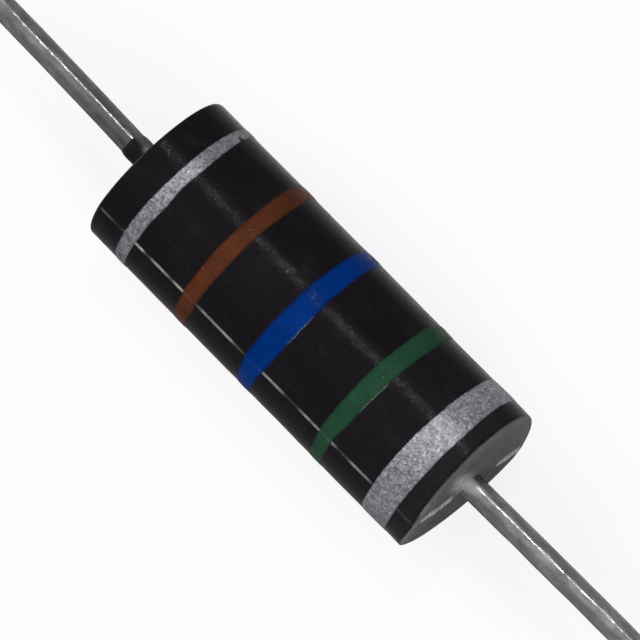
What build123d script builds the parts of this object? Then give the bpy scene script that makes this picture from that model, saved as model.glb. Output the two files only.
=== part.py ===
from build123d import *
import os
from math import cos, floor, radians, sin, sqrt, tan

# Axial inductor in a moulded epoxy body. Millimetres.
# The leads run along X, +X towards the wide band. +Z is up.
# The origin is on the lead axis, halfway between the two ends of the body.

# Moulded body: its ends fall away by a draft angle on each side of the parting plane.
# The near end's upper half has more draft than its lower half.
body_diameter = 5.6
body_length = 13.94
near_upper_draft = 4.2
near_lower_draft = 2.6
far_end_draft = 1.0
ridge_radius = 1.0
body_edge_chamfer = 0.06

# Mould seam: its turn about X from +Y towards +Z, its bead, and the flash on the near end
seam_angle = 150.0
seam_bead_diameter = 0.06
seam_bead_height = 0.015
flash_diameter = 0.2
flash_height = 0.08
flash_taper = 0.2
lower_flash_margin = 0.35
lower_flash_length = 1.6
upper_flash_margin = 0.2
upper_flash_length = 1.25

# Tinned copper leads, glued into the core, with a flattened anchor in each end of the body
lead_diameter = 0.82
lead_length = 36.6
lead_end_chamfer = 0.08
socket_depth = 1.8
anchor_length = 0.9
anchor_width = 0.94
anchor_thickness = 0.58
anchor_edge_chamfer = 0.12
anchor_cover = 0.06

# Epoxy run-out on the far lead
collar_length = 1.05
collar_bulge = 0.6
collar_wall = 0.05

# Painted bands: each silver one keeps a margin to its end of the body.
# The other three are spread between them, each a little off even spacing.
paint_thickness = 0.025
wide_silver_width = 1.04
wide_silver_margin = 0.76
narrow_silver_width = 0.49
narrow_silver_margin = 1.185
green_width = 0.64
green_shift = 0.25
blue_width = 0.775
blue_shift = -0.1
brown_width = 0.625
brown_shift = -0.18

# Ferrite bobbin
core_length = 8.0
flange_diameter = 3.8
flange_thickness = 0.8
hub_diameter = 1.8
notch_clearance = 0.03

# Winding of enamelled wire, its two ends laid along the leads and soldered
wire_diameter = 0.36
wire_bend = 0.25
layer_count = 3
flange_gap = 0.1
soldered_length = 0.6
solder_film = 0.02
solder_wall = 0.12
solder_overrun = 0.2

body_radius = body_diameter / 2
lead_radius = lead_diameter / 2
wire_radius = wire_diameter / 2
near_end = body_length / 2
far_end = -body_length / 2
core_end = core_length / 2
winding_end = core_end - flange_thickness

# Layers nest, each in the grooves of the one below
layer_rise = wire_diameter * sqrt(3) / 2
winding_radius = hub_diameter / 2 + wire_diameter + (layer_count - 1) * layer_rise
groove_radius = winding_radius - wire_radius / 2

# The wire leaves the winding one wire below its outside, through a notch in the flange
tail_height = winding_radius - wire_diameter
drop_place = core_end + flange_gap + wire_radius
joint_height = lead_radius + solder_film + wire_radius
wire_end = drop_place + soldered_length
solder_end = wire_end + solder_overrun
solder_radius = joint_height + wire_radius + solder_wall

# The seam direction points out of the body at the seam. The parting plane holds it and X.
seam_direction = Vector(0, cos(radians(seam_angle)), sin(radians(seam_angle)))
across_seam = Plane(origin=(0, 0, 0), x_dir=(1, 0, 0), z_dir=seam_direction)
to_far_side = Rot(0, 0, 180)


def rod(start, end, diameter):
    """A round rod on the X axis."""
    return extrude(Plane.YZ.offset(start) * Circle(diameter / 2), end - start)


def turned(outline):
    """A solid turned about the X axis from a closed outline of X and radius."""
    return revolve(make_face(outline), Axis.X)


def drafted_body():
    """The moulded cylinder with its two roof-shaped ends and broken rims."""
    reach = body_diameter
    near_upper_drop = reach * tan(radians(near_upper_draft))
    near_lower_drop = reach * tan(radians(near_lower_draft))
    far_drop = reach * tan(radians(far_end_draft))
    outline = Polyline(
        (near_end, 0),
        (near_end - near_upper_drop, reach),
        (far_end + far_drop, reach),
        (far_end, 0),
        (far_end + far_drop, -reach),
        (near_end - near_lower_drop, -reach),
        close=True,
    )
    block = extrude(across_seam * make_face(outline), reach, both=True)
    along_x = block.edges().group_by(Axis.X)
    block = fillet(along_x[0] + along_x[-1], ridge_radius)
    body = rod(far_end - 1, near_end + 1, body_diameter) & block
    rims = body.edges().filter_by(lambda edge: edge.geom_type != GeomType.LINE)
    return chamfer(rims, body_edge_chamfer)


def seam_beads():
    """The hairline of flash along both sides, sunk so that it stands up by its height."""
    end_gap = body_edge_chamfer + seam_bead_diameter / 2
    bead = rod(far_end + end_gap, near_end - end_gap, seam_bead_diameter)
    offset = seam_direction * (body_radius + seam_bead_height - seam_bead_diameter / 2)
    return [Pos(*offset) * bead, Pos(*(offset * -1)) * bead]


def end_flash(direction, margin, length):
    """A half-sunk ridge of flash on the near end, along the parting plane, with pointed ends."""
    radius = flash_diameter / 2
    outline = Polyline((0, 0), (radius, flash_taper), (radius, length - flash_taper), (0, length), close=True)
    ridge = revolve(Plane.XZ * make_face(outline), Axis.Z)
    height = Vector(near_end + flash_height - radius, 0, 0)
    inner = height + direction * (body_radius - margin - length)
    return Plane(origin=inner, x_dir=(1, 0, 0), z_dir=direction).location * ridge


def far_collar():
    """Epoxy that ran out along the far lead, thickest at its bulge and thinning to nothing."""
    sunk = far_end + collar_bulge
    bulge = far_end - collar_bulge
    tip = far_end - collar_length
    outline = Polyline(
        (sunk, 0),
        (sunk, lead_radius),
        (bulge, lead_radius + collar_wall),
        (tip, lead_radius),
        (tip, 0),
        close=True,
    )
    return turned(outline)


def lead():
    """The near lead: from its socket in the core, flattened in the body's end, to its cut end."""
    anchor_end = near_end - anchor_cover
    anchor_start = anchor_end - anchor_length
    tip = near_end + lead_length
    inner = rod(core_end - socket_depth, anchor_start, lead_diameter)
    outer = rod(anchor_end, tip, lead_diameter)
    outer = chamfer(outer.edges().sort_by(Axis.X)[-1], lead_end_chamfer)
    anchor = Pos((anchor_start + anchor_end) / 2, 0, 0) * Box(anchor_length, anchor_width, anchor_thickness)
    anchor = chamfer(anchor.edges().filter_by(Axis.X), anchor_edge_chamfer)
    return inner + anchor + outer


def bobbin_blank():
    """The core's turned outline without sockets and notches."""
    outline = Polyline(
        (-core_end, 0),
        (-core_end, flange_diameter / 2),
        (-winding_end, flange_diameter / 2),
        (-winding_end, hub_diameter / 2),
        (winding_end, hub_diameter / 2),
        (winding_end, flange_diameter / 2),
        (core_end, flange_diameter / 2),
        (core_end, 0),
        close=True,
    )
    return turned(outline)


def notch():
    """The slot in the near flange that lets the wire out."""
    width = wire_diameter + 2 * notch_clearance
    bottom = tail_height - width / 2
    block = Box(flange_thickness, width, flange_diameter, align=(Align.MIN, Align.CENTER, Align.MIN))
    return Pos(winding_end, 0, bottom) * block


def ferrite_core():
    """The bobbin with a blind socket in each end and a notch in each flange."""
    core = bobbin_blank() - notch() - to_far_side * notch()
    core -= rod(core_end - socket_depth, core_end, lead_diameter)
    core -= rod(-core_end, socket_depth - core_end, lead_diameter)
    return core


def coil_winding():
    """The winding, with a ridge for each turn of its outer layer."""
    turn_count = floor(2 * winding_end / wire_diameter)
    turn_pitch = 2 * winding_end / turn_count
    points = [(winding_end, hub_diameter / 2), (-winding_end, hub_diameter / 2)]
    points.append((-winding_end, groove_radius))
    for turn in range(turn_count):
        groove = -winding_end + turn * turn_pitch
        points.append((groove + turn_pitch / 2, winding_radius))
        points.append((groove + turn_pitch, groove_radius))
    return turned(Polyline(*points, close=True))


def wire_tail():
    """The wire's near end: out through the notch, down to the lead and along it."""
    start = (winding_end, 0, tail_height)
    path = Polyline(
        start,
        (drop_place - wire_bend, 0, tail_height),
        (drop_place, 0, tail_height - wire_bend),
        (drop_place, 0, joint_height + wire_bend),
        (drop_place + wire_bend, 0, joint_height),
        (wire_end, 0, joint_height),
    )
    section = Plane(origin=start, z_dir=(1, 0, 0)) * Circle(wire_radius)
    return sweep(section, path, transition=Transition.RIGHT)


def solder_joint(tail):
    """Solder round the lead and the wire on it, from the core's flange to the bare lead."""
    outline = Polyline(
        (core_end, lead_radius),
        (core_end, solder_radius),
        (wire_end, solder_radius),
        (solder_end, lead_radius + solder_film),
        (solder_end, lead_radius),
        close=True,
    )
    return turned(outline) - tail


def band(centre, width):
    """A ring of paint on the body. It runs over the seam beads."""
    ring = rod(centre - width / 2, centre + width / 2, body_diameter + 2 * paint_thickness)
    ring -= rod(centre - width, centre + width, body_diameter)
    for bead in seam_beads():
        ring -= bead
    return ring


def painted_bands():
    """The five bands by name, from the near end to the far one."""
    wide_centre = near_end - wide_silver_margin - wide_silver_width / 2
    narrow_centre = far_end + narrow_silver_margin + narrow_silver_width / 2
    step = (wide_centre - narrow_centre) / 4
    return {
        "band_wide_silver": band(wide_centre, wide_silver_width),
        "band_green": band(wide_centre - step + green_shift, green_width),
        "band_blue": band(wide_centre - 2 * step + blue_shift, blue_width),
        "band_brown": band(wide_centre - 3 * step + brown_shift, brown_width),
        "band_narrow_silver": band(narrow_centre, narrow_silver_width),
    }


def moulded_jacket(inner_pieces):
    """The epoxy body with its seam and flash, cast round the pieces inside it."""
    jacket = drafted_body() + far_collar()
    for bead in seam_beads():
        jacket += bead
    jacket += end_flash(seam_direction, lower_flash_margin, lower_flash_length)
    jacket += end_flash(seam_direction * -1, upper_flash_margin, upper_flash_length)
    jacket -= rod(-winding_end, winding_end, 2 * winding_radius)
    for piece in inner_pieces:
        jacket -= piece
    return jacket


finish_wire = wire_tail()
solder_near = solder_joint(finish_wire)
lead_near = lead()
pieces = {
    "ferrite_core": ferrite_core(),
    "winding": coil_winding(),
    "start_wire": to_far_side * finish_wire,
    "finish_wire": finish_wire,
    "solder_far": to_far_side * solder_near,
    "solder_near": solder_near,
    "lead_far": to_far_side * lead_near,
    "lead_near": lead_near,
}
pieces["epoxy_jacket"] = moulded_jacket([piece for name, piece in pieces.items() if name != "winding"])
pieces.update(painted_bands())

os.makedirs("parts", exist_ok=True)
for name, piece in pieces.items():
    export_step(piece, f"parts/{name}.step")
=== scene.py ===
import math
import random

import bmesh
import bpy
import numpy as np
from mathutils import Matrix, Vector


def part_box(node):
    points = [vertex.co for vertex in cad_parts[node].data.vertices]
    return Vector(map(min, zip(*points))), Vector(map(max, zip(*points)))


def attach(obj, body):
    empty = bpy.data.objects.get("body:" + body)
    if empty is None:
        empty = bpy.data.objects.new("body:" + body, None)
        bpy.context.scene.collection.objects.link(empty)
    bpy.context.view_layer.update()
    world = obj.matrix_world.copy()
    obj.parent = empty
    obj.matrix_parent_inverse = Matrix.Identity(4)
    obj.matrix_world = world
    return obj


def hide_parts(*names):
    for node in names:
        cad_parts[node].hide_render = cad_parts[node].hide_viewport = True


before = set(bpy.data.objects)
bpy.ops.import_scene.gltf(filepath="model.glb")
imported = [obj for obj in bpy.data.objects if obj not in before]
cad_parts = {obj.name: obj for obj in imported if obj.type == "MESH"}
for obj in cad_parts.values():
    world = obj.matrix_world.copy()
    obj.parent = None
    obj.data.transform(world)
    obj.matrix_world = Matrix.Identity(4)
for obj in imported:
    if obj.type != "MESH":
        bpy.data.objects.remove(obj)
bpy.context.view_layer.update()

# Axial inductor. Lengths are millimetres until a mesh is made, which turns them into metres.
# The leads run along X, +X towards the wide band. Turns about X go from +Y towards +Z.
MM = 0.001

FULL_TURN = 2 * math.pi
RIGHT_ANGLE = math.pi / 2
# Wave lengths along X that make an unevenness the same all along
ENDLESS = (1e6, 2e6)

# Moulded body. Its ends fall away from a ridge on the parting plane.
BODY_RADIUS = 2.8
NEAR_END = 6.97
FAR_END = -6.97
NEAR_DRAFT = math.radians(4.2)
FAR_DRAFT = math.radians(1.0)
RIDGE_ROUNDING = 0.07
RIM_ROUNDING = 0.06
# The rim is rounder round this turn at the far end, and sharper on the near end's lower half
FAR_SOFT_TURN = math.radians(10)
FAR_SOFT_HALF_WIDTH = 0.35
FAR_SOFT_ROUNDING = 0.07
NEAR_LOWER_SHARPNESS = 0.032
# How far the near end's rim lies back at each turn of its lower half
LOWER_TURNS = (150, 165, 180, 195, 210, 225, 240, 255, 270, 285, 300, 315, 330)
LOWER_DROPS = (0.0, 0.07, 0.14, 0.19, 0.205, 0.185, 0.165, 0.135, 0.10, 0.055, 0.015, -0.02, 0.0)

# Parting seam, and its flash on the near end by distance from the axis
SEAM_ANGLE = math.radians(147.6)
SEAM_HALF_WIDTH = 0.062
SEAM_HEIGHT = 0.015
FLASH_HALF_WIDTH = 0.112
FLASH_HEIGHT = 0.078
FLASH_TAPER = 0.2
LOWER_FLASH = (0.85, 2.5)
UPPER_FLASH = (1.35, 2.6)
# How bright the seam's painted highlight is along X: it fades towards both ends
SEAM_PLACES = (-6.9, -6.0, -5.6, -4.8, -2.0, -0.8, 0.2, 0.8, 2.0, 4.0, 4.9, 5.3, 6.2, 6.6)
SEAM_TONES = (0.15, 0.35, 0.75, 0.95, 0.9, 0.5, 0.45, 0.85, 0.6, 0.8, 0.5, 0.2, 0.12, 0.1)
SEAM_HIGHLIGHT = 0.82

# Collar of run-out epoxy on the far lead: its outline, and the place and turn of a painted glint on it
COLLAR_TIP = -8.03
COLLAR_X = (COLLAR_TIP, -7.995, -7.94, -7.87, -7.78, -7.66, -7.5, -7.3, -7.12, -7.03, FAR_END)
COLLAR_R = (0.404, 0.417, 0.434, 0.445, 0.450, 0.449, 0.445, 0.442, 0.446, 0.46, 0.50)
COLLAR_FOOT = 0.53
GLINT_PLACE = -7.47
GLINT_TURN = 79

# Marks, each between a rise and a fall: in degrees of turn, or in millimetres from the axis or the body
COLLAR_THIN_TURNS = ((0, 20), (68, 84))
# Painted highlight on the near rim
RIM_HIGHLIGHT_TURNS = ((108, 122), (165, 190))
MOTTLED_FACE_TURNS = ((40, 75), (190, 215))
# Painted reflection of the near lead on its end face
LEAD_REFLECTION_TURN = math.radians(107)
LEAD_REFLECTION_REACH = ((-0.2, 0.5), (1.1, 2.4))
LEAD_REFLECTION_HALF_WIDTH = 0.34
PALE_ROOT_TURNS = ((62, 82), (128, 150))
# Fade of the painted shade on the far lead, in millimetres from the body
SHADE_FADE = (1.6, 4.2)

# Paint, and the turns at which the shifts of a band's two edges are given, in hundredths of a millimetre
PAINT_THICKNESS = 0.014
PAINT_CLEARANCE = 0.0012
PAINT_SUNK = 0.03
SHIFT_TURNS = (0, 50, 67, 81, 100, 113, 126, 142, 156, 180, 260)
WIDE_SHIFTS = ((4, 4, 2, 2, -3, -2, -2, -2, 0, 0, 0), (-3, -3, -4, -2, -1, 0, -1, -1, 1, 0, 0))
NARROW_SHIFTS = ((5, 4, 3, 2, 1, -2, -3, -4, -1, 0, 0), (-8, -5, -2, 1, -2, 5, 0, 0, -4, -6, 0))
GREEN_SHIFTS = ((5, 3, 1, -1, -2, -2, -2, -1, 3, 4, 0), (-6, 7, 3, 0, 4, 1, -2, -10, -8, -12, 0))
BLUE_SHIFTS = ((7, 6, 3, -3, 0, 0, 2, -3, -1, 3, 0), (-12, -3, 0, -4, 2, 6, 7, 0, -10, -14, 0))
BROWN_SHIFTS = ((-2, -3, -1, 1, -1, -1, 2, 0, 5, 3, 0), (-8, 1, 1, -4, -3, 0, -1, -3, -2, -8, 0))

# Leads: they start inside the body and run out with a slight set to one side
LEAD_RADIUS = 0.41
LEAD_START = 2.3
LEAD_BARE = 6.8
LEAD_TIP = 43.565
SET_LENGTH = 16.5
SET_WAY = (0.985, 0.173)

# Floor and studio
FLOOR_HEIGHT = -2.83
FLOOR_HALF_SIDE = 3.0
FLOOR_TONE = 0.52
FLOOR_GLOW_TONE = (1.0, 0.982, 1.0, 1)
FLOOR_GLOW = 0.985
FLOOR_GLOW_SHARE = 0.85
# Painted light and shade on the floor where it is mirrored, by distance across the leads in millimetres: a
# painted shadow on the -Y side and a painted bright strip on the +Y side
MIRRORED_FLOOR_LIGHT_AND_SHADE = [(-30, 0.30), (0, 0.36), (5, 0.95), (11, 0.75), (21, 0.35), (30, 0.3)]
# Brightness of the studio from its -Y side (0) over the middle to its +Y side (1)
STUDIO_LEVELS = [
    (0.0, 0.18), (0.11, 0.22), (0.22, 0.78), (0.5, 0.8), (0.62, 0.5), (0.75, 0.16), (0.9, 0.16), (1.0, 0.38),
]
STUDIO_TINT = (0.985, 0.985, 1.0)


# ---------------------------------------------------------------- camera
AZIMUTH = math.radians(46.3)
ELEVATION = math.radians(75.7)
DISTANCE = 253.4
FOCAL_PIXELS = 8256.0
IMAGE_SIDE = 640
SENSOR = 36.0
AIM = (-0.07, 0.0, 0.0)
AIM_PIXEL = (309.83, 323.5)


def make_camera():
    """The photograph's camera: its aim falls on the aim's pixel."""
    back = Vector((
        math.sin(AZIMUTH) * math.cos(ELEVATION),
        -math.cos(AZIMUTH) * math.cos(ELEVATION),
        math.sin(ELEVATION),
    ))
    right = Vector((math.cos(AZIMUTH), math.sin(AZIMUTH), 0))
    up = back.cross(right)
    per_pixel = DISTANCE / FOCAL_PIXELS
    place = Vector(AIM) + back * DISTANCE
    place -= right * (AIM_PIXEL[0] - IMAGE_SIDE / 2) * per_pixel
    place += up * (AIM_PIXEL[1] - IMAGE_SIDE / 2) * per_pixel
    data = bpy.data.cameras.new("camera")
    data.sensor_width = SENSOR
    data.lens = FOCAL_PIXELS * SENSOR / IMAGE_SIDE
    data.clip_start = 0.01
    data.clip_end = 10
    camera = bpy.data.objects.new("camera", data)
    turn = Matrix((right, up, back)).transposed().to_4x4()
    camera.matrix_world = Matrix.Translation(place * MM) @ turn
    bpy.context.scene.collection.objects.link(camera)
    bpy.context.scene.camera = camera


make_camera()


# ---------------------------------------------------------------- mesh helpers
def waves(seed, count, turns, lengths, size):
    """A smooth, repeatable unevenness over (angle, x): a sum of cosines of about that size."""
    dice = random.Random(seed)
    terms = []
    for _ in range(count):
        turn = dice.randint(*turns)
        length = dice.uniform(*lengths)
        terms.append((turn, FULL_TURN / length, dice.uniform(0, FULL_TURN), dice.uniform(0.5, 1)))
    scale = size / math.sqrt(sum(t[3] ** 2 for t in terms) / 2)

    def at(angle, x):
        return scale * sum(a * np.cos(m * angle + q * x + p) for m, q, p, a in terms)

    return at


def tube(name, x, y, z, marks=None):
    """A closed mesh from rings of points, with both ends capped: rows run along it, columns round it."""
    rows, columns = x.shape
    points = np.stack([x, y, z], -1).reshape(-1, 3)
    caps = [points[:columns].mean(0), points[-columns:].mean(0)]
    points = np.vstack([points, caps]) * MM
    faces = []
    for i in range(rows - 1):
        for j in range(columns):
            k = (j + 1) % columns
            faces.append((i * columns + j, i * columns + k, (i + 1) * columns + k, (i + 1) * columns + j))
    first, last = rows * columns, rows * columns + 1
    for j in range(columns):
        k = (j + 1) % columns
        faces.append((first, k, j))
        faces.append((last, (rows - 1) * columns + j, (rows - 1) * columns + k))
    return finish_mesh(name, points, faces, marks)


def ring(name, x, y, z, marks=None):
    """A closed ring of a closed outline: rows go round the outline, columns round the axis."""
    rows, columns = x.shape
    points = np.stack([x, y, z], -1).reshape(-1, 3) * MM
    faces = []
    for i in range(rows):
        n = (i + 1) % rows
        for j in range(columns):
            k = (j + 1) % columns
            faces.append((i * columns + j, i * columns + k, n * columns + k, n * columns + j))
    return finish_mesh(name, points, faces, marks)


def finish_mesh(name, points, faces, marks):
    """An object of that mesh. Marks are values for each point, which its material reads by name."""
    mesh = bpy.data.meshes.new(name)
    mesh.from_pydata(points.tolist(), [], faces)
    for key, values in (marks or {}).items():
        flat = np.zeros(len(points), np.float32)
        flat[: values.size] = values.reshape(-1)
        mesh.attributes.new(key, "FLOAT", "POINT").data.foreach_set("value", flat)
    work = bmesh.new()
    work.from_mesh(mesh)
    bmesh.ops.recalc_face_normals(work, faces=work.faces)
    work.to_mesh(mesh)
    work.free()
    mesh.shade_smooth()
    piece = bpy.data.objects.new(name, mesh)
    bpy.context.scene.collection.objects.link(piece)
    return piece


def dense_angles(between):
    """Angles round the body, close together at the two sides of the seam."""
    steps = [0.25] * 10 + [0.5] * 6 + [1.0] * 5
    near = np.cumsum(steps)
    rest = np.linspace(near[-1], 180 - near[-1], between)[1:-1]
    half = np.concatenate([[0], near, rest, 180 - near[::-1]])
    return np.radians(np.concatenate([half, half + 180])) + SEAM_ANGLE


def smooth_step(low, high, value):
    """0 below low, 1 above high and smooth between them."""
    t = np.clip((value - low) / (high - low), 0, 1)
    return t * t * (3 - 2 * t)


def span(value, rise, fall):
    """1 between a rise and a fall, each (from, to), and 0 outside them."""
    return smooth_step(*rise, value) * (1 - smooth_step(*fall, value))


def bell(value, width):
    """1 at 0, falling to a third at width on both sides."""
    return np.exp(-((value / width) ** 2))


def wrapped(angle):
    """The same angle between minus and plus half a turn."""
    return np.mod(angle + math.pi, FULL_TURN) - math.pi


def turn_of(angle):
    """The same angle in degrees from 0 to 360."""
    return np.degrees(np.mod(angle, FULL_TURN))


# ---------------------------------------------------------------- body
def roof(across, draft):
    """How far an end falls away at a distance from the parting plane, with a rounded ridge."""
    return math.tan(draft) * (np.sqrt(across ** 2 + RIDGE_ROUNDING ** 2) - RIDGE_ROUNDING)


def flash_ridge(along, across, start, end):
    """Height and painted highlight of one strip of flash along the parting plane, from start to end."""
    rise = np.clip((along - start) / FLASH_TAPER, 0, 1) * np.clip((end - along) / FLASH_TAPER, 0, 1)
    ragged = 0.8 + 0.2 * np.sin(along * 9.1 + 1) * np.sin(along * 23.0)
    width = FLASH_HALF_WIDTH * (0.7 + 0.3 * rise) * (1 + 0.14 * np.sin(along * 7.3 + 0.6))
    height = FLASH_HEIGHT * ragged * np.sqrt(rise) * np.sqrt(np.clip(1 - (across / width) ** 2, 0, 1))
    # The flash strip is painted pale: a painted highlight
    pale = smooth_step(0, 0.3, rise) * (1 - smooth_step(width - 0.04, width + 0.06, np.abs(across)))
    return height, pale


def lower_drop(angle):
    """How far the near end's rim lies back at each turn of its lower half."""
    return np.interp(np.mod(angle, FULL_TURN), np.radians(LOWER_TURNS), LOWER_DROPS)


def in_lower_half(from_seam):
    """1 on the lower side of the parting plane, 0 on the upper one."""
    return smooth_step(-0.02, 0.02, np.sin(from_seam))


# Unevenness of the body's side and of the seam along it
swell = waves(11, 14, (0, 5), (1.6, 7.0), 0.0030)
ripple = waves(12, 26, (0, 14), (0.5, 1.6), 0.0009)
seam_ragged = waves(13, 12, (0, 0), (0.5, 2.6), 0.5)
seam_weave = waves(14, 6, (0, 0), (2.0, 6.0), 0.006)


def side_height(angle, x):
    """Unevenness of the body's side with its seam, and the painted highlight on the seam's crest."""
    ragged = np.clip(0.62 + 0.5 * seam_ragged(0, x), 0.15, 1)
    height = swell(angle, x) + ripple(angle, x)
    wear_and_highlight = 0
    for side in (0, math.pi):
        off = wrapped(angle - SEAM_ANGLE - side) * BODY_RADIUS + seam_weave(side, x) * 0.5
        crest = np.sqrt(np.clip(1 - (off / SEAM_HALF_WIDTH) ** 2, 0, 1))
        height = height + SEAM_HEIGHT * crest * (0.5 + 0.5 * ragged)
        # The seam's crest is painted pale: a painted highlight
        wear_and_highlight = wear_and_highlight + smooth_step(0.1, 0.8, crest) * np.clip(1.6 * ragged - 0.32, 0.1, 1.15)
    return height, SEAM_HIGHLIGHT * wear_and_highlight * np.interp(x, SEAM_PLACES, SEAM_TONES)


def make_body():
    """The moulded epoxy body: collar, two roof-shaped ends, round side, seam and flash in one mesh."""
    angle = dense_angles(105)
    face_swell = waves(15, 12, (0, 5), (1.0, 4.0), 0.004)
    rim_chips = waves(16, 18, (1, 30), ENDLESS, 1.0)
    tip_line = waves(17, 8, (1, 6), ENDLESS, 0.022)
    from_seam = angle - SEAM_ANGLE
    turn = turn_of(angle)
    chips = rim_chips(angle, 0)
    chip = np.clip(chips, 0, None)
    lower = in_lower_half(from_seam)
    rows = []

    def add(x, r, wear_and_highlight=0.0, end=0.0, lead_reflection=0.0):
        """A row of points with its marks: pale wear and painted highlights, on an end face, painted
        reflection of the near lead.
        """
        rows.append([value + np.zeros_like(angle) for value in (x, r, wear_and_highlight, end, lead_reflection)])

    # Collar on the far lead: a sleeve of run-out epoxy that ends in a short slope
    thin = span(turn, *COLLAR_THIN_TURNS) * (0.2 + 0.1 * chip)
    tip_shift = tip_line(angle, 0) + 0.05 * smooth_step(95, 55, turn)
    for x in (*COLLAR_X[:5], *np.arange(-7.72, -7.2, 0.05), *COLLAR_X[8:]):
        r = np.interp(x, COLLAR_X, COLLAR_R)
        share = (x - FAR_END) / (COLLAR_TIP - FAR_END)
        # A painted glint on the collar; the collar also takes a little of the end faces' painted reflection
        # tone
        glint = 0.55 * bell(x - GLINT_PLACE, 0.08) * bell(turn - GLINT_TURN, 13)
        add(x + tip_shift * share ** 3, r + 0.2 * tip_line(angle + 1, 0) * share, thin + glint, 0.07)
    # Far end
    softer = bell(wrapped(angle - FAR_SOFT_TURN), FAR_SOFT_HALF_WIDTH)
    far_rounding = RIM_ROUNDING + FAR_SOFT_ROUNDING * softer
    rim_face = BODY_RADIUS - far_rounding
    for share in np.linspace(0, 1, 24):
        r = COLLAR_FOOT + (rim_face - COLLAR_FOOT) * share
        unevenness = face_swell(angle, r) * smooth_step(0.5, 0.9, r)
        x = FAR_END + roof(r * np.sin(from_seam), FAR_DRAFT) + unevenness
        add(x, r, 0, 1)
    far_rim = FAR_END + roof(rim_face * np.sin(from_seam), FAR_DRAFT)
    for bend in np.radians([22, 45, 68, 90]):
        x = far_rim + far_rounding * (1 - math.cos(bend))
        wear_and_highlight = 0.03 * chip * math.sin(2 * bend)
        add(x, rim_face + far_rounding * math.sin(bend), wear_and_highlight, max(0, 1 - 1.4 * bend / RIGHT_ANGLE))
    # Side
    near_rounding = RIM_ROUNDING - NEAR_LOWER_SHARPNESS * lower
    near_face = BODY_RADIUS - near_rounding

    def near_drop(r):
        """How far the near end lies back at a distance from the axis."""
        upper_drop = roof(r * np.sin(from_seam), NEAR_DRAFT)
        return upper_drop * (1 - lower) + lower_drop(angle) * r / BODY_RADIUS * lower

    near_rim = NEAR_END - near_drop(near_face)
    # Painted highlight along part of the near rim
    rim_highlight = span(turn, *RIM_HIGHLIGHT_TURNS) * (0.75 + 0.25 * np.clip(chips, -1, 1))
    side_from = far_rim + far_rounding
    side_to = near_rim - near_rounding
    for t in np.linspace(0, 1, 141)[1:-1]:
        x = side_from + (side_to - side_from) * t
        fade = min(1, t * 40, (1 - t) * 40)
        height, wear_and_highlight = side_height(angle, x)
        # A little paler towards the near end
        paler_towards_near_end = 0.005 * smooth_step(2.8, 3.6, x) + 0.010 * smooth_step(6.0, 6.25, x)
        add(x, BODY_RADIUS + height * fade, wear_and_highlight + paler_towards_near_end, 0)
    for bend in np.radians([90, 68, 45, 22]):
        x = near_rim - near_rounding * (1 - math.cos(bend))
        # Rim rounding paler with random chips and the painted rim highlight
        wear_and_highlight = (0.04 * chip + 0.3 * rim_highlight) * math.sin(2 * bend)
        add(x, near_face + near_rounding * math.sin(bend), wear_and_highlight, 1 - bend / RIGHT_ANGLE)
    # Near end with the two strips of flash
    shares = np.concatenate([np.linspace(1, 0.15, 50), np.linspace(0.15, 0.03, 8)[1:], [0.01, 0.0]])
    inner = LEAD_RADIUS - 0.03
    from_lead_reflection = angle - LEAD_REFLECTION_TURN
    for share in shares:
        r = inner + (near_face - inner) * share
        across = r * np.sin(from_seam)
        along = r * np.cos(from_seam)
        lower_strip, lower_flash_highlight = flash_ridge(along, across, *LOWER_FLASH)
        upper_strip, upper_flash_highlight = flash_ridge(-along, across, *UPPER_FLASH)
        unevenness = face_swell(angle, r + 20) * smooth_step(0.5, 0.9, r)
        x = NEAR_END - near_drop(r) + lower_strip + upper_strip + unevenness
        # Painted reflection of the near lead on the end face
        out, beside = r * np.cos(from_lead_reflection), r * np.sin(from_lead_reflection)
        lead_reflection = bell(beside, LEAD_REFLECTION_HALF_WIDTH) * span(out, *LEAD_REFLECTION_REACH)
        mottled = 0.13 * smooth_step(0.55, 0.95, share) * span(turn, *MOTTLED_FACE_TURNS)
        # Painted rim highlight on the face next to the rim
        edge_mark = 0.22 * rim_highlight * smooth_step(0.86, 0.98, share)
        add(x, r, lower_flash_highlight + upper_flash_highlight + mottled + edge_mark, 1, lead_reflection)
    x, r, wear_and_highlight, end, lead_reflection = np.array(rows).transpose(1, 0, 2)
    y, z = r * np.cos(angle), r * np.sin(angle)
    return tube("moulded_body", x, y, z, {"wear_and_highlight": wear_and_highlight, "end_face": end, "lead_reflection": lead_reflection})


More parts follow.
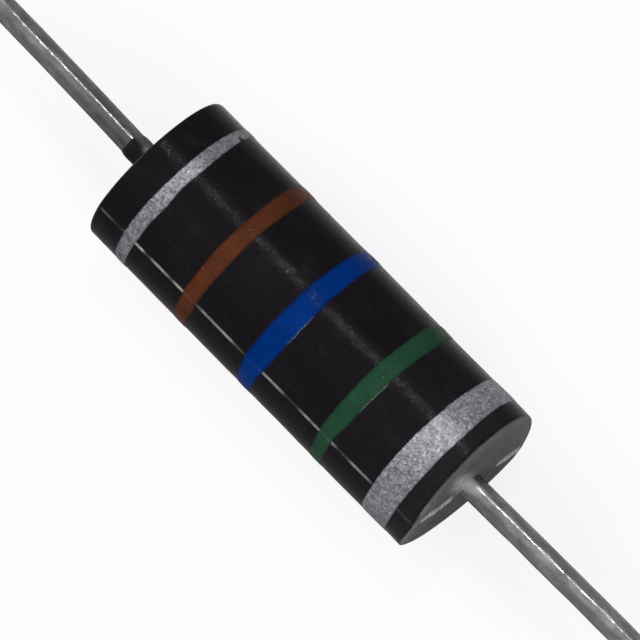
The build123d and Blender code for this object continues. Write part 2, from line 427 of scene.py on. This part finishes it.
# ---------------------------------------------------------------- bands
def make_band(name, node, seed, rag, shifts, scuff_and_highlight=None, nick=None):
    """A ring of paint where the CAD's band is, with brushed, uneven edges and rounded sides.
    scuff_and_highlight is a scuff on the near edge, (turn from, turn to); the band's mark of that name also
    takes the seam's painted highlight.
    A nick in the near edge is (turn, half width in degrees, depth)."""
    low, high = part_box(node)
    low, high = low.x / MM, high.x / MM
    centre, half = (low + high) / 2, (high - low) / 2
    angle = dense_angles(200)
    turn = turn_of(angle)
    film = waves(seed + 4, 10, (1, 24), (0.3, 1.2), 0.0008)
    reach = np.array([-1, -0.97, -0.9, -0.78, -0.6, -0.35, -0.12, 0.12, 0.35, 0.6, 0.78, 0.9, 0.97, 1])
    edges = []
    for k in (0, 1):
        coarse = waves(seed + k, 8, (1, 7), ENDLESS, rag)
        fine = waves(seed + 2 + k, 16, (12, 60), ENDLESS, rag * 0.3)
        shift = np.interp(turn, SHIFT_TURNS, shifts[k], period=360) * 0.01
        edges.append(coarse(angle, 0) + fine(angle, 0) + shift)
    far_edge, near_edge = edges
    if nick:
        near_edge = near_edge - nick[2] * bell(turn - nick[0], nick[1])
    edge_mark = 0
    if scuff_and_highlight:
        edge_mark = span(turn, (scuff_and_highlight[0], scuff_and_highlight[0] + 4), (scuff_and_highlight[1] - 4, scuff_and_highlight[1]))

    def place(u):
        """X at a share of the band's width, from -1 at its far edge to 1 at its near one."""
        return centre + half * u + far_edge * max(0, -u) + near_edge * max(0, u)

    rows = []
    for u in reach:
        x = place(u)
        height, wear_and_highlight = side_height(angle, x)
        dome = (1 - abs(u) ** 3) ** 0.7
        r = BODY_RADIUS + height + PAINT_CLEARANCE + PAINT_THICKNESS * dome + film(angle, x) * dome
        from_edge = np.full_like(angle, 1 - abs(u)) * half
        # The band's scuff mark also takes a quarter of the seam's painted highlight
        rows.append((x, r, from_edge, edge_mark * smooth_step(0.86, 1, u) + 0.25 * wear_and_highlight))
    unmarked = np.zeros_like(angle)
    for u in (1, 0, -1):
        rows.append((place(u), np.full_like(angle, BODY_RADIUS - PAINT_SUNK), unmarked, unmarked))
    x, r, from_edge, scuffs_and_highlight = np.array(rows).transpose(1, 0, 2)
    y, z = r * np.cos(angle), r * np.sin(angle)
    return ring(name, x, y, z, {"from_edge": from_edge, "scuff_and_highlight": scuffs_and_highlight})


# ---------------------------------------------------------------- leads
def make_lead(name, side, seed, root, slope):
    """A tinned lead with a slight set to it. side is 1 for the near lead and -1 for the far one."""
    angle = np.linspace(0, FULL_TURN, 65)[:-1]
    lump_size = 0.0022
    lumps = waves(seed, 16, (0, 3), (0.8, 4.2), lump_size)
    grain = waves(seed + 1, 22, (2, 9), (0.2, 0.7), 0.0006)
    turn = turn_of(angle)
    unmarked = np.zeros_like(angle)
    rows = []

    def add(x, radius, offset, pale, painted_shade):
        """A row of points round the lead's line, with its marks."""
        y = radius * np.cos(angle) + SET_WAY[0] * offset
        z = radius * np.sin(angle) + SET_WAY[1] * offset
        rows.append((side * x + unmarked, y, z, pale, painted_shade))

    for x in np.concatenate([
        np.linspace(LEAD_START, LEAD_BARE, 6)[:-1],
        np.linspace(LEAD_BARE, 16, 300),
        np.linspace(16, LEAD_TIP - 0.1, 360)[1:],
    ]):
        share = min(1, max(0, (x - NEAR_END) / SET_LENGTH))
        offset = root * (1 - share) ** 2 + slope * SET_LENGTH / math.pi * math.sin(share * math.pi)
        fade = 1 if x > LEAD_BARE else 0
        radius = LEAD_RADIUS + (lumps(angle, x) + grain(angle, x)) * fade
        out = x - NEAR_END
        if side > 0:
            # Near root: paler where it faces the wide band, with painted shade above it
            reach = bell(np.clip(out - 0.1, 0, None), 0.34 + 0.14 * lumps(angle * 2, x) / lump_size)
            pale = 0.85 * reach * span(turn, *PALE_ROOT_TURNS)
            painted_shade = 0.7 * bell(out, 0.5) * (1 - smooth_step(62, 80, turn))
        else:
            # Painted shade darkens the far lead next to the body
            pale = unmarked
            painted_shade = 0.42 * (1 - smooth_step(*SHADE_FADE, out)) * (0.3 + 0.7 * smooth_step(50, 80, turn))
        add(x, radius, offset, pale, painted_shade)
    # The cut end with its broken edge
    for from_tip, thinner in ((0.09, 0.01), (0.04, 0.03), (0.0, 0.08), (0.0, 0.21)):
        add(LEAD_TIP - from_tip, LEAD_RADIUS - thinner, 0, unmarked, unmarked)
    x, y, z, pale, painted_shade = np.array(rows).transpose(1, 0, 2)
    return tube(name, x, y, z, {"pale": pale, "painted_shade": painted_shade})


# ---------------------------------------------------------------- materials
METAL_EDGE_TINT = (0.35, 0.35, 0.35, 1)


def put(links, socket, value):
    """Links a socket to another one, or sets its value."""
    if isinstance(value, bpy.types.NodeSocket):
        links.new(value, socket)
    else:
        socket.default_value = value


def set_stops(ramp, stops):
    """Gives a colour ramp its (place, colour) stops."""
    while len(ramp.elements) < len(stops):
        ramp.elements.new(0.5)
    for element, (place, tone) in zip(ramp.elements, stops):
        element.position = place
        element.color = tone


class Surface:
    """A node material around one shader, with texture coordinates in millimetres.
    A shift of the coordinates makes two pieces of the same finish differ."""

    def __init__(self, name, shift=None):
        self.material = bpy.data.materials.new(name)
        self.material.use_nodes = True
        self.nodes = self.material.node_tree.nodes
        self.links = self.material.node_tree.links
        self.shader = self.nodes["Principled BSDF"]
        place = self.nodes.new("ShaderNodeTexCoord").outputs["Object"]
        self.mm = self.add("ShaderNodeMapping", {"Vector": place, "Scale": (1 / MM,) * 3}).outputs[0]
        if shift:
            self.mm = self.add("ShaderNodeVectorMath", {0: self.mm, 1: shift}, operation="ADD").outputs[0]

    def add(self, kind, inputs=None, **settings):
        """A new node of that kind, with its settings and inputs set or linked."""
        node = self.nodes.new(kind)
        for key, value in settings.items():
            setattr(node, key, value)
        for key, value in (inputs or {}).items():
            put(self.links, node.inputs[key], value)
        return node

    def set(self, **values):
        """Sets or links the shader's sockets, named with _ for a space."""
        for key, value in values.items():
            put(self.links, self.shader.inputs[key.replace("_", " ")], value)

    def noise(self, scale, detail, rough, stretch=None, distortion=0.0):
        """A noise texture of so many waves to a millimetre."""
        where = self.mm
        if stretch:
            where = self.add("ShaderNodeMapping", {"Vector": self.mm, "Scale": stretch}).outputs[0]
        return self.add("ShaderNodeTexNoise", {
            "Vector": where, "Scale": scale, "Detail": detail, "Roughness": rough, "Distortion": distortion,
        }).outputs["Fac"]

    def cells(self, scale, output="Distance"):
        """The distance to the nearest cell's centre, or each cell's own colour."""
        return self.add("ShaderNodeTexVoronoi", {"Vector": self.mm, "Scale": scale}).outputs[output]

    def ramp(self, value, stops):
        """A value or colour read from (place, colour or grey) stops."""
        node = self.add("ShaderNodeValToRGB", {"Fac": value})
        colours = [(place, tone if isinstance(tone, tuple) else (tone,) * 3) for place, tone in stops]
        set_stops(node.color_ramp, [(place, (*colour, 1)) for place, colour in colours])
        return node.outputs["Color"]

    def math(self, operation, a, b):
        return self.add("ShaderNodeMath", {0: a, 1: b}, operation=operation).outputs[0]

    def times(self, a, b):
        """The product of two values."""
        return self.math("MULTIPLY", a, b)

    def mix(self, share, a, b, blend="MIX"):
        """Colour a with that share of colour b over it."""
        node = self.add("ShaderNodeMix", data_type="RGBA", blend_type=blend)
        put(self.links, node.inputs[0], share)
        for socket, value in ((node.inputs[6], a), (node.inputs[7], b)):
            put(self.links, socket, (*value, 1) if isinstance(value, tuple) else value)
        return node.outputs[2]

    def tint(self, a, b):
        """The product of two colours."""
        return self.mix(1.0, a, b, "MULTIPLY")

    def ragged_edge(self, raggedness, width):
        """1 at a band's edges and 0 further in than width, along a ragged line."""
        uneven = self.times(self.math("SUBTRACT", self.noise(9, 4, 0.7), 0.5), raggedness)
        return self.ramp(self.math("ADD", self.mark("from_edge"), uneven), [(0.0, 1), (width, 0)])

    def dots(self, scale, size, chosen):
        """Round dots in scattered cells. size and chosen are each (from, to)."""
        dot = self.ramp(self.cells(scale), [(size[0], 1), (size[1], 0)])
        return self.times(dot, self.ramp(self.cells(scale, "Color"), [(chosen[0], 0), (chosen[1], 1)]))

    def mark(self, name):
        """The values that the mesh carries under that name."""
        return self.add("ShaderNodeAttribute", attribute_name=name).outputs["Fac"]

    def bump(self, *layers):
        """Stacked bumps, each (height, strength, distance in millimetres)."""
        normal = None
        for height, strength, distance in layers:
            inputs = {"Height": height, "Strength": strength, "Distance": distance * MM}
            if normal:
                inputs["Normal"] = normal
            normal = self.add("ShaderNodeBump", inputs).outputs["Normal"]
        self.set(Normal=normal)


def black_epoxy():
    """Glossy black moulding compound, duller on the end faces and painted greyer there as their grazing
    reflection.
    """
    s = Surface("black_epoxy")
    fine = s.noise(16, 3, 0.6)
    base = s.ramp(s.noise(0.55, 4, 0.6), [
        (0.3, (0.0076, 0.0063, 0.0080)), (0.55, (0.0086, 0.0072, 0.0090)), (0.78, (0.0104, 0.0089, 0.0104)),
    ])
    base = s.tint(base, s.ramp(fine, [(0.35, 0.75), (0.7, 1.35)]))
    # Dust
    base = s.mix(s.times(s.dots(2.6, (0.045, 0.075), (0.86, 0.9)), 0.25), base, (0.16, 0.16, 0.17))
    # Rubbed patches, dull and a little paler
    rub = s.ramp(s.noise(0.7, 5, 0.65, stretch=(1.0, 2.2, 2.2)), [(0.54, 0), (0.74, 1)])
    base = s.mix(s.times(rub, 0.15), base, (0.034, 0.032, 0.033))
    # End faces: their grey tone is a painted grazing reflection
    end = s.mark("end_face")
    painted_face_reflection = s.ramp(s.noise(1.7, 4, 0.6), [(0.32, (0.070, 0.067, 0.070)), (0.7, (0.105, 0.101, 0.104))])
    painted_face_reflection = s.tint(painted_face_reflection, s.ramp(s.noise(8, 4, 0.7), [(0.33, 0.80), (0.67, 1.26)]))
    base = s.mix(s.times(end, 0.9), base, painted_face_reflection)
    # Pale marks: wear and mottling, with painted highlights on the seam, flash, near rim and collar glint,
    # and the painted reflection of the near lead on its end face
    wear_and_highlight = s.times(s.mark("wear_and_highlight"), s.ramp(s.noise(5.5, 3, 0.6), [(0.36, 0.5), (0.62, 0.95)]))
    base = s.mix(wear_and_highlight, base, (0.46, 0.455, 0.465))
    # Painted reflection of the near lead
    lead_reflection = s.times(s.mark("lead_reflection"), s.ramp(s.noise(3.5, 4, 0.65), [(0.3, 0.35), (0.65, 1)]))
    base = s.mix(lead_reflection, base, (0.46, 0.45, 0.44))
    rough = s.ramp(s.noise(1.5, 4, 0.65, stretch=(1.0, 0.5, 0.5)), [(0.36, 0.16), (0.66, 0.30)])
    # Small smoother spots, which sparkle in the streak's reflection
    rough = s.tint(rough, s.ramp(s.noise(8, 2, 0.5), [(0.48, 1.1), (0.62, 0.62)]))
    rough = s.mix(s.times(rub, 0.5), rough, (0.5, 0.5, 0.5))
    rough = s.mix(s.times(end, 0.8), rough, (0.42, 0.42, 0.42))
    s.set(Base_Color=base, Roughness=rough, Specular_IOR_Level=0.03)
    s.bump((s.noise(1.1, 3, 0.5), 0.35, 0.02), (s.noise(6, 3, 0.6), 0.6, 0.009), (fine, 0.6, 0.005))
    return s.material


def coloured_paint(name, tone, thin_tone, pale, seed):
    """Opaque paint, thinner and darker along its edges, with pale dust, scuffs and the seam's painted
    highlight.
    """
    s = Surface(name, (seed, 0, 0))
    base = s.tint(tone, s.ramp(s.noise(1.2, 5, 0.65), [(0.3, 0.8), (0.7, 1.2)]))
    base = s.tint(base, s.ramp(s.noise(22, 3, 0.7), [(0.3, 0.82), (0.7, 1.2)]))
    base = s.mix(s.times(s.ragged_edge(0.2, 0.1), 0.8), base, thin_tone)
    base = s.mix(s.times(s.dots(4.5, (0.05, 0.09), (0.74, 0.8)), 0.4), base, pale)
    # Scuffs, and the seam's painted highlight carried onto the band
    scuff_and_highlight = s.times(s.mark("scuff_and_highlight"), s.ramp(s.noise(14, 4, 0.7), [(0.45, 0.1), (0.62, 0.55)]))
    base = s.mix(scuff_and_highlight, base, pale)
    rough = s.ramp(s.noise(3, 4, 0.6), [(0.3, 0.3), (0.7, 0.46)])
    # Small smoother spots, which sparkle in the streak's reflection
    rough = s.tint(rough, s.ramp(s.noise(5, 1, 0.5), [(0.48, 1.05), (0.6, 0.36)]))
    s.set(Base_Color=base, Roughness=rough, Specular_IOR_Level=0.02)
    s.bump((s.noise(2.2, 3, 0.5), 0.4, 0.02), (s.noise(24, 3, 0.6), 0.35, 0.005))
    return s.material


def silver_paint(name, level, seed):
    """Metal flake in clear lacquer: bright and dark flakes, clumped, thin at the edges."""
    s = Surface(name, (seed, 3, 1))
    flake = s.cells(15, "Color")
    flake_tone = s.ramp(flake, [(0.1, 0.62), (0.5, 0.96), (0.85, 1.25), (0.97, 2.1)])
    base = s.tint((level, level, level * 1.09), flake_tone)
    base = s.tint(base, s.ramp(s.noise(6, 4, 0.65), [(0.33, 0.70), (0.68, 1.32)]))
    base = s.tint(base, s.ramp(s.noise(0.9, 3, 0.5), [(0.3, 0.95), (0.7, 1.05)]))
    base = s.mix(s.times(s.ragged_edge(0.12, 0.05), 0.7), base, (0.06, 0.06, 0.062))
    s.set(Base_Color=base, Metallic=0.6, Roughness=s.ramp(flake, [(0.2, 0.34), (0.9, 0.5)]))
    s.set(Specular_IOR_Level=0.03, Specular_Tint=METAL_EDGE_TINT)
    s.bump((s.cells(15), 0.6, 0.012), (s.noise(7, 3, 0.6), 0.3, 0.02))
    return s.material


def tinned_wire(name, level, seed):
    """Dull tin with paler patches, tarnish, drawing lines, a paler near root and painted shade next to the
    body.
    """
    s = Surface(name, (seed, 2, 5))
    patch = s.noise(1.9, 5, 0.62, stretch=(0.75, 1.6, 1.6), distortion=0.4)
    tone = s.ramp(patch, [
        (0.32, (0.17, 0.168, 0.163)), (0.5, (0.22, 0.217, 0.217)), (0.72, (0.36, 0.356, 0.36)),
    ])
    tone = s.tint(tone, s.ramp(s.noise(26, 4, 0.7), [(0.3, 0.82 * level), (0.7, 1.2 * level)]))
    tarnish = s.ramp(s.noise(0.8, 4, 0.6), [(0.5, 0), (0.75, 1)])
    tone = s.mix(s.times(tarnish, 0.4), tone, (0.15, 0.145, 0.125))
    # Painted shade next to the body and above the near root
    tone = s.mix(s.mark("painted_shade"), tone, (0.045, 0.046, 0.038))
    tone = s.mix(s.mark("pale"), tone, (0.62, 0.61, 0.585))
    rough = s.ramp(s.noise(3.2, 1, 0.5, stretch=(0.5, 1.5, 1.5)), [(0.34, 0.12), (0.5, 0.2), (0.66, 0.42)])
    rough = s.mix(s.mark("pale"), rough, (0.5, 0.5, 0.5))
    s.set(Base_Color=tone, Metallic=0.55, Roughness=rough, Specular_Tint=METAL_EDGE_TINT)
    drawing = s.noise(9, 3, 0.6, stretch=(0.06, 1, 1))
    dents = s.noise(2.4, 1, 0.5, stretch=(0.6, 1, 1))
    s.bump((drawing, 0.2, 0.006), (dents, 0.3, 0.02), (s.noise(30, 3, 0.6), 0.08, 0.003))
    return s.material


def ferrite():
    """Dark sintered ceramic."""
    s = Surface("ferrite")
    tone = s.ramp(s.noise(9, 5, 0.7), [(0.3, (0.018, 0.018, 0.020)), (0.7, (0.042, 0.041, 0.042))])
    s.set(Base_Color=tone, Roughness=s.ramp(s.noise(14, 3, 0.6), [(0.3, 0.45), (0.7, 0.7)]))
    s.bump((s.noise(20, 4, 0.7), 0.5, 0.01))
    return s.material


def enamelled_copper():
    """Copper under clear enamel."""
    s = Surface("enamelled_copper")
    tone = s.ramp(s.noise(3, 4, 0.6), [(0.3, (0.30, 0.075, 0.022)), (0.7, (0.45, 0.14, 0.045))])
    rough = s.ramp(s.noise(8, 3, 0.6), [(0.3, 0.2), (0.7, 0.34)])
    s.set(Base_Color=tone, Metallic=0.8, Roughness=rough, Coat_Weight=0.6)
    s.bump((s.noise(12, 3, 0.6), 0.2, 0.004))
    return s.material


def solder():
    """Bright solder with uneven dull patches."""
    s = Surface("solder")
    tone = s.ramp(s.noise(4, 5, 0.65), [(0.3, (0.42, 0.42, 0.41)), (0.7, (0.62, 0.62, 0.61))])
    s.set(Base_Color=tone, Metallic=1.0, Roughness=s.ramp(s.noise(6, 4, 0.6), [(0.3, 0.25), (0.7, 0.5)]))
    s.bump((s.noise(7, 4, 0.6), 0.4, 0.02))
    return s.material


# ---------------------------------------------------------------- the object
def dress(piece, material, node):
    """Puts a piece with its material in the place of a CAD node."""
    piece.data.materials.append(material)
    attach(piece, "root")
    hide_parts(node)


dress(make_body(), black_epoxy(), "epoxy_jacket")
dress(
    make_lead("tinned_lead_near", 1, 41, 0.030, 0.0191),
    tinned_wire("tinned_wire_near", 1.1, 0),
    "lead_near",
)
dress(
    make_lead("tinned_lead_far", -1, 51, -0.012, 0.0238),
    tinned_wire("tinned_wire_far", 0.86, 11),
    "lead_far",
)
dress(
    make_band("silver_band_wide", "band_wide_silver", 100, 0.012, WIDE_SHIFTS),
    silver_paint("silver_paint_wide", 0.315, 5),
    "band_wide_silver",
)
dress(
    make_band("silver_band_narrow", "band_narrow_silver", 110, 0.010, NARROW_SHIFTS, nick=(38.5, 1.3, 0.22)),
    silver_paint("silver_paint_narrow", 0.27, 17),
    "band_narrow_silver",
)
dress(
    make_band("green_band", "band_green", 120, 0.012, GREEN_SHIFTS, scuff_and_highlight=(90, 119)),
    coloured_paint("green_paint", (0.0148, 0.0535, 0.0285), (0.010, 0.028, 0.016), (0.35, 0.45, 0.38), 3),
    "band_green",
)
dress(
    make_band("blue_band", "band_blue", 130, 0.012, BLUE_SHIFTS, scuff_and_highlight=(94, 121)),
    coloured_paint("blue_paint", (0.0002, 0.0235, 0.150), (0.003, 0.010, 0.05), (0.25, 0.35, 0.6), 9),
    "band_blue",
)
dress(
    make_band("brown_band", "band_brown", 140, 0.010, BROWN_SHIFTS),
    coloured_paint("brown_paint", (0.077, 0.0232, 0.0104), (0.035, 0.012, 0.006), (0.4, 0.3, 0.28), 14),
    "band_brown",
)

# The sealed pieces stay as the CAD has them
for material, nodes in (
    (ferrite(), ("ferrite_core",)),
    (enamelled_copper(), ("winding", "start_wire", "finish_wire")),
    (solder(), ("solder_near", "solder_far")),
):
    for node in nodes:
        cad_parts[node].data.materials.clear()
        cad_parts[node].data.materials.append(material)


# ---------------------------------------------------------------- floor and light
def combine(tree, operation, a, b):
    """A math node of two values."""
    node = tree.nodes.new("ShaderNodeMath")
    node.operation = operation
    put(tree.links, node.inputs[0], a)
    put(tree.links, node.inputs[1], b)
    return node.outputs[0]


def ramp_along_y(tree, coordinate, low, high, stops):
    """A colour ramp from low to high along Y. Its stops are (place from 0 to 1, colour)."""
    place = tree.nodes.new("ShaderNodeTexCoord")
    parts = tree.nodes.new("ShaderNodeSeparateXYZ")
    tree.links.new(place.outputs[coordinate], parts.inputs[0])
    across = tree.nodes.new("ShaderNodeMapRange")
    tree.links.new(parts.outputs["Y"], across.inputs["Value"])
    across.inputs["From Min"].default_value = low
    across.inputs["From Max"].default_value = high
    ramp = tree.nodes.new("ShaderNodeValToRGB")
    tree.links.new(across.outputs["Result"], ramp.inputs["Fac"])
    set_stops(ramp.color_ramp, stops)
    return ramp.outputs["Color"]


def mix_shaders(tree, kind, share, first, second):
    """Mixes two shaders and links them to a new output node of that kind."""
    mix = tree.nodes.new("ShaderNodeMixShader")
    put(tree.links, mix.inputs[0], share)
    tree.links.new(first.outputs[0], mix.inputs[1])
    tree.links.new(second.outputs[0], mix.inputs[2])
    tree.links.new(mix.outputs[0], tree.nodes.new(kind).inputs["Surface"])


def make_floor():
    """A plain pale floor. Seen directly it is nearly white with a faint shadow."""
    mesh = bpy.data.meshes.new("floor")
    side, height = FLOOR_HALF_SIDE, FLOOR_HEIGHT * MM
    corners = [(-side, -side, height), (side, -side, height), (side, side, height), (-side, side, height)]
    mesh.from_pydata(corners, [], [(0, 1, 2, 3)])
    floor = bpy.data.objects.new("floor", mesh)
    bpy.context.scene.collection.objects.link(floor)
    material = bpy.data.materials.new("pale_floor")
    material.use_nodes = True
    tree = material.node_tree
    tree.nodes.clear()
    # Direct sight shows the floor pale, mirrors and glass show it with painted light and shade, and other
    # rays get its own tone
    path = tree.nodes.new("ShaderNodeLightPath").outputs
    seen = combine(tree, "MAXIMUM", path["Is Camera Ray"], path["Is Glossy Ray"])
    seen = combine(tree, "MAXIMUM", seen, path["Is Transmission Ray"])
    low, high = MIRRORED_FLOOR_LIGHT_AND_SHADE[0][0], MIRRORED_FLOOR_LIGHT_AND_SHADE[-1][0]
    stops = [((y - low) / (high - low), (level, level, level, 1)) for y, level in MIRRORED_FLOOR_LIGHT_AND_SHADE]
    painted_floor_light = ramp_along_y(tree, "Object", low * MM, high * MM, stops)
    tone = tree.nodes.new("ShaderNodeMix")
    tone.data_type = "RGBA"
    put(tree.links, tone.inputs[0], seen)
    put(tree.links, tone.inputs[6], (FLOOR_TONE, FLOOR_TONE, FLOOR_TONE, 1))
    put(tree.links, tone.inputs[7], combine(tree, "MAXIMUM", painted_floor_light, path["Is Camera Ray"]))
    diffuse = tree.nodes.new("ShaderNodeBsdfDiffuse")
    tree.links.new(tone.outputs[2], diffuse.inputs["Color"])
    glow = tree.nodes.new("ShaderNodeEmission")
    glow.inputs["Color"].default_value = FLOOR_GLOW_TONE
    glow.inputs["Strength"].default_value = FLOOR_GLOW
    share = combine(tree, "MULTIPLY", path["Is Camera Ray"], FLOOR_GLOW_SHARE)
    mix_shaders(tree, "ShaderNodeOutputMaterial", share, diffuse, glow)
    mesh.materials.append(material)


def make_world():
    """A soft studio, brightest overhead. White where the camera sees it."""
    world = bpy.data.worlds.new("studio")
    bpy.context.scene.world = world
    world.use_nodes = True
    tree = world.node_tree
    tree.nodes.clear()
    stops = [(place, (*(level * share for share in STUDIO_TINT), 1)) for place, level in STUDIO_LEVELS]
    soft = tree.nodes.new("ShaderNodeBackground")
    tree.links.new(ramp_along_y(tree, "Generated", -1, 1, stops), soft.inputs["Color"])
    white = tree.nodes.new("ShaderNodeBackground")
    white.inputs["Color"].default_value = (1, 1, 1, 1)
    seen = tree.nodes.new("ShaderNodeLightPath").outputs["Is Camera Ray"]
    mix_shaders(tree, "ShaderNodeOutputWorld", seen, soft, white)


def area_light(name, way, distance, size, power):
    """A soft lamp in a direction from the object, turned towards it, in metres and watts.
    size is (across, along)."""
    data = bpy.data.lights.new(name, "AREA")
    data.shape = "RECTANGLE"
    data.size, data.size_y = size
    data.energy = power
    lamp = bpy.data.objects.new(name, data)
    back = Vector(way).normalized()
    lamp.location = back * distance
    lamp.rotation_mode = "QUATERNION"
    lamp.rotation_quaternion = back.to_track_quat("Z", "Y")
    bpy.context.scene.collection.objects.link(lamp)


make_floor()
make_world()
area_light("soft_box_far", (-0.80, -0.25, 0.55), 0.55, (0.40, 0.40), 1.75)
area_light("soft_box_near", (0.72, -0.25, 0.64), 0.55, (0.30, 0.30), 1.02)
area_light("streak_lamp", (-0.1786, 0.30, 0.94), 0.45, (0.020, 0.030), 0.26)

bpy.context.scene.view_settings.view_transform = "Standard"
